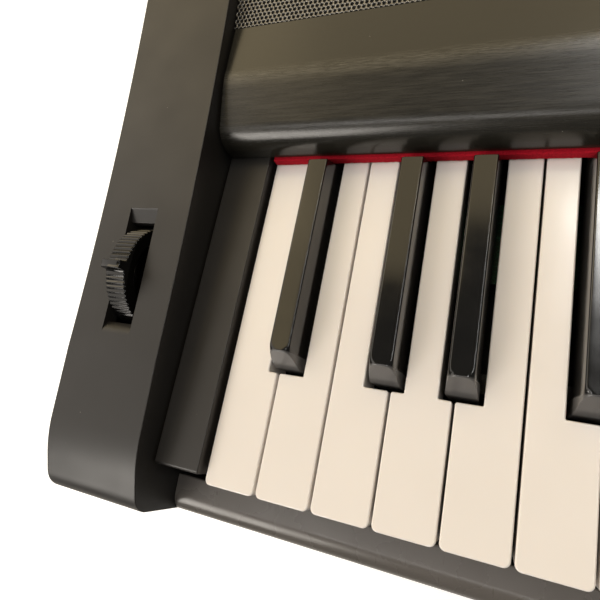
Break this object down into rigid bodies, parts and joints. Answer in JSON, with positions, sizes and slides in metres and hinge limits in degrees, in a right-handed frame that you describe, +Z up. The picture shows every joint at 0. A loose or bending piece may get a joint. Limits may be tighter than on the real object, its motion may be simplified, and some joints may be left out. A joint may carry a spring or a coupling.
{
  "type": "digital piano on stand",
  "caption": "Full-size digital piano with weighted-style keys, bend wheel, speaker grilles, controls and lift-off music rest on a stand of two side boards, foot rails and a back board.",
  "frame": {"origin": "centre of the overall outline on the floor, under the stand's glides", "axes": "+X to the player's right along the keyboard, +Y away from the player, +Z up"},
  "size_m": [1.371, 0.445, 0.9305],
  "materials": {
    "case": "fine satin",
    "panel": "satin with fine lengthwise grain",
    "grille": "perforated steel, satin black",
    "felt_red": "wool felt",
    "felt_grey": "wool felt",
    "white_key": "polished",
    "black_key": "satin",
    "wheel": "moulded with grip ribs",
    "control": "satin",
    "window": "clear over black",
    "stand_board": "black laminate",
    "stand_foot": "black laminate",
    "bracket": "powder coat",
    "steel": "zinc plated",
    "screw_black": "blackened",
    "chassis": "moulded",
    "circuit": "solder resist",
    "rubber": "moulded",
    "glide": "moulded",
    "speaker": "satin",
    "socket": "moulded"
  },
  "bodies": {
    "case_and_stand": {"stand_side_left": "stand_board", "stand_side_right": "stand_board", "stand_foot_left": "stand_foot", "stand_foot_right": "stand_foot", "stand_back_board": "stand_board", "stand_brackets": "bracket", "stand_screws": "screw_black", "clamp_screws": "control", "foot_glides": "glide", "lower_case": "case", "cheek_left": "case", "cheek_right": "case", "key_block_left": "case", "key_block_right": "case", "front_rail": "case", "top_panel": "panel", "rear_cover": "case", "grille_left": "grille", "grille_right": "grille", "felt_strip": "felt_red", "display_window": "window", "case_screws": "screw_black", "key_chassis": "chassis", "pivot_rod": "steel", "key_springs": "steel", "key_felts": "felt_grey", "contact_board": "circuit", "contact_domes": "rubber", "main_board": "circuit", "control_board": "circuit", "speaker_left": "speaker", "speaker_right": "speaker", "rear_jacks": "socket", "wheel_holder": "chassis", "wheel_axle": "steel", "wheel_spring": "steel"},
    "bend_wheel_body": {"bend_wheel": "wheel"},
    "volume_knob_body": {"volume_knob": "control"},
    "data_dial_body": {"data_dial": "control"},
    "power_button_body": {"power_button": "control"},
    "buttons_left_body": {"buttons_left": "control"},
    "buttons_right_body": {"buttons_right": "control"},
    "music_rest_body": {"music_rest": "case"},
    "key_a0_body": {"key_a0": "white_key"},
    "key_b0_body": {"key_b0": "white_key"},
    "key_c1_body": {"key_c1": "white_key"},
    "key_d1_body": {"key_d1": "white_key"},
    "key_e1_body": {"key_e1": "white_key"},
    "key_f1_body": {"key_f1": "white_key"},
    "key_a_sharp0_body": {"key_a_sharp0": "black_key"},
    "key_c_sharp1_body": {"key_c_sharp1": "black_key"},
    "key_d_sharp1_body": {"key_d_sharp1": "black_key"},
    "white_keys_octave_1_body": {"white_keys_octave_1": "white_key"},
    "white_keys_octaves_2_3_body": {"white_keys_octaves_2_3": "white_key"},
    "white_keys_octaves_4_5_body": {"white_keys_octaves_4_5": "white_key"},
    "white_keys_octaves_6_7_body": {"white_keys_octaves_6_7": "white_key"},
    "black_keys_octave_1_body": {"black_keys_octave_1": "black_key"},
    "black_keys_octaves_2_3_body": {"black_keys_octaves_2_3": "black_key"},
    "black_keys_octaves_4_5_body": {"black_keys_octaves_4_5": "black_key"},
    "black_keys_octaves_6_7_body": {"black_keys_octaves_6_7": "black_key"}
  },
  "joints": [
    {"name": "key_a0_hinge", "type": "hinge", "parent": "case_and_stand", "child": "key_a0_body", "pos_m": [0, -0.0055, 0.7], "axis": [1, 0, 0], "range_deg": [0, 2.86], "stiffness_Nm_per_rad": 0.8, "springref_deg": -8.59},
    {"name": "key_b0_hinge", "type": "hinge", "parent": "case_and_stand", "child": "key_b0_body", "pos_m": [0, -0.0055, 0.7], "axis": [1, 0, 0], "range_deg": [0, 2.86], "stiffness_Nm_per_rad": 0.8, "springref_deg": -8.59},
    {"name": "key_c1_hinge", "type": "hinge", "parent": "case_and_stand", "child": "key_c1_body", "pos_m": [0, -0.0055, 0.7], "axis": [1, 0, 0], "range_deg": [0, 2.86], "stiffness_Nm_per_rad": 0.8, "springref_deg": -8.59},
    {"name": "key_d1_hinge", "type": "hinge", "parent": "case_and_stand", "child": "key_d1_body", "pos_m": [0, -0.0055, 0.7], "axis": [1, 0, 0], "range_deg": [0, 2.86], "stiffness_Nm_per_rad": 0.8, "springref_deg": -8.59},
    {"name": "key_e1_hinge", "type": "hinge", "parent": "case_and_stand", "child": "key_e1_body", "pos_m": [0, -0.0055, 0.7], "axis": [1, 0, 0], "range_deg": [0, 2.86], "stiffness_Nm_per_rad": 0.8, "springref_deg": -8.59},
    {"name": "key_f1_hinge", "type": "hinge", "parent": "case_and_stand", "child": "key_f1_body", "pos_m": [0, -0.0055, 0.7], "axis": [1, 0, 0], "range_deg": [0, 2.86], "stiffness_Nm_per_rad": 0.8, "springref_deg": -8.59},
    {"name": "key_a_sharp0_hinge", "type": "hinge", "parent": "case_and_stand", "child": "key_a_sharp0_body", "pos_m": [0, -0.0055, 0.7], "axis": [1, 0, 0], "range_deg": [0, 2.86], "stiffness_Nm_per_rad": 0.8, "springref_deg": -8.59},
    {"name": "key_c_sharp1_hinge", "type": "hinge", "parent": "case_and_stand", "child": "key_c_sharp1_body", "pos_m": [0, -0.0055, 0.7], "axis": [1, 0, 0], "range_deg": [0, 2.86], "stiffness_Nm_per_rad": 0.8, "springref_deg": -8.59},
    {"name": "key_d_sharp1_hinge", "type": "hinge", "parent": "case_and_stand", "child": "key_d_sharp1_body", "pos_m": [0, -0.0055, 0.7], "axis": [1, 0, 0], "range_deg": [0, 2.86], "stiffness_Nm_per_rad": 0.8, "springref_deg": -8.59},
    {"name": "white_keys_octave_1_hinge", "type": "hinge", "parent": "case_and_stand", "child": "white_keys_octave_1_body", "pos_m": [0, -0.0055, 0.7], "axis": [1, 0, 0], "range_deg": [0, 2.86], "stiffness_Nm_per_rad": 2.4, "springref_deg": -8.59},
    {"name": "white_keys_octaves_2_3_hinge", "type": "hinge", "parent": "case_and_stand", "child": "white_keys_octaves_2_3_body", "pos_m": [0, -0.0055, 0.7], "axis": [1, 0, 0], "range_deg": [0, 2.86], "stiffness_Nm_per_rad": 11.2, "springref_deg": -8.59},
    {"name": "white_keys_octaves_4_5_hinge", "type": "hinge", "parent": "case_and_stand", "child": "white_keys_octaves_4_5_body", "pos_m": [0, -0.0055, 0.7], "axis": [1, 0, 0], "range_deg": [0, 2.86], "stiffness_Nm_per_rad": 11.2, "springref_deg": -8.59},
    {"name": "white_keys_octaves_6_7_hinge", "type": "hinge", "parent": "case_and_stand", "child": "white_keys_octaves_6_7_body", "pos_m": [0, -0.0055, 0.7], "axis": [1, 0, 0], "range_deg": [0, 2.86], "stiffness_Nm_per_rad": 12, "springref_deg": -8.59},
    {"name": "black_keys_octave_1_hinge", "type": "hinge", "parent": "case_and_stand", "child": "black_keys_octave_1_body", "pos_m": [0, -0.0055, 0.7], "axis": [1, 0, 0], "range_deg": [0, 2.86], "stiffness_Nm_per_rad": 2.4, "springref_deg": -8.59},
    {"name": "black_keys_octaves_2_3_hinge", "type": "hinge", "parent": "case_and_stand", "child": "black_keys_octaves_2_3_body", "pos_m": [0, -0.0055, 0.7], "axis": [1, 0, 0], "range_deg": [0, 2.86], "stiffness_Nm_per_rad": 8, "springref_deg": -8.59},
    {"name": "black_keys_octaves_4_5_hinge", "type": "hinge", "parent": "case_and_stand", "child": "black_keys_octaves_4_5_body", "pos_m": [0, -0.0055, 0.7], "axis": [1, 0, 0], "range_deg": [0, 2.86], "stiffness_Nm_per_rad": 8, "springref_deg": -8.59},
    {"name": "black_keys_octaves_6_7_hinge", "type": "hinge", "parent": "case_and_stand", "child": "black_keys_octaves_6_7_body", "pos_m": [0, -0.0055, 0.7], "axis": [1, 0, 0], "range_deg": [0, 2.86], "stiffness_Nm_per_rad": 8, "springref_deg": -8.59},
    {"name": "bend_wheel_hinge", "type": "hinge", "parent": "case_and_stand", "child": "bend_wheel_body", "pos_m": [-0.66125, -0.1212, 0.7153], "axis": [1, 0, 0], "range_deg": [-38, 38], "stiffness_Nm_per_rad": 0.12},
    {"name": "volume_knob_hinge", "type": "hinge", "parent": "case_and_stand", "child": "volume_knob_body", "pos_m": [-0.225, 0.04714, 0.74667], "axis": [0, -0.1822, 0.9833], "range_deg": [-150, 150]},
    {"name": "data_dial_hinge", "type": "hinge", "parent": "case_and_stand", "child": "data_dial_body", "pos_m": [0.225, 0.04714, 0.74667], "axis": [0, -0.1822, 0.9833], "continuous": true},
    {"name": "power_button_slide", "type": "slide", "parent": "case_and_stand", "child": "power_button_body", "axis": [0, 0.1822, -0.9833], "range_m": [0, 0.001], "stiffness_N_per_m": 300, "springref_m": -0.0015},
    {"name": "buttons_left_slide", "type": "slide", "parent": "case_and_stand", "child": "buttons_left_body", "axis": [0, 0.1822, -0.9833], "range_m": [0, 0.001], "stiffness_N_per_m": 1600, "springref_m": -0.0015},
    {"name": "buttons_right_slide", "type": "slide", "parent": "case_and_stand", "child": "buttons_right_body", "axis": [0, 0.1822, -0.9833], "range_m": [0, 0.001], "stiffness_N_per_m": 1600, "springref_m": -0.0015},
    {"name": "music_rest_slide", "type": "slide", "parent": "case_and_stand", "child": "music_rest_body", "axis": [0, 0.2588, 0.9659], "range_m": [0, 0.012]}
  ]
}
